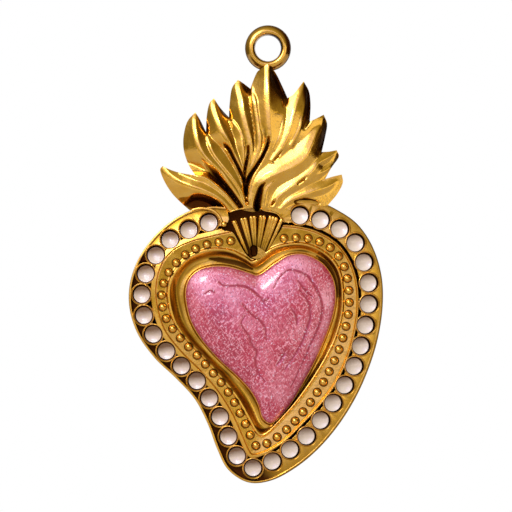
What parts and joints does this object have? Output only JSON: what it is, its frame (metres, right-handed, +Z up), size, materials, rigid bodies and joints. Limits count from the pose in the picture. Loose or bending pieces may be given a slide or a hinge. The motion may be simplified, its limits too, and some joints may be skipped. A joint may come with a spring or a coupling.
{
  "type": "sacred heart charm",
  "caption": "Gilt sacred heart charm with a flame crown, pink enamel heart, pearl drops round the rim and a round hanging loop.",
  "frame": {"origin": "centre of the hanging loop's bore", "axes": "+Z up as the charm hangs, face towards -Y, +X to the right seen from the front"},
  "size_m": [0.0276, 0.003, 0.0498],
  "materials": {
    "gilt_casting": "polished antique gold plate over a zinc casting",
    "gilt_loop": "polished gold plate",
    "pink_enamel": "glossy pearlescent pink enamel with swirls and fine glitter",
    "pearl_enamel": "glossy pearl white enamel"
  },
  "bodies": {
    "root": {"cast_body": "gilt_casting", "hanging_loop": "gilt_loop", "enamel_heart": "pink_enamel", "pearl_01": "pearl_enamel", "pearl_02": "pearl_enamel", "pearl_03": "pearl_enamel", "pearl_04": "pearl_enamel", "pearl_05": "pearl_enamel", "pearl_06": "pearl_enamel", "pearl_07": "pearl_enamel", "pearl_08": "pearl_enamel", "pearl_09": "pearl_enamel", "pearl_10": "pearl_enamel", "pearl_11": "pearl_enamel", "pearl_12": "pearl_enamel", "pearl_13": "pearl_enamel", "pearl_14": "pearl_enamel", "pearl_15": "pearl_enamel", "pearl_16": "pearl_enamel", "pearl_17": "pearl_enamel", "pearl_18": "pearl_enamel", "pearl_19": "pearl_enamel", "pearl_20": "pearl_enamel", "pearl_21": "pearl_enamel", "pearl_22": "pearl_enamel", "pearl_23": "pearl_enamel", "pearl_24": "pearl_enamel", "pearl_25": "pearl_enamel", "pearl_26": "pearl_enamel", "pearl_27": "pearl_enamel", "pearl_28": "pearl_enamel", "pearl_29": "pearl_enamel", "pearl_30": "pearl_enamel", "pearl_31": "pearl_enamel", "pearl_32": "pearl_enamel"}
  },
  "joints": []
}
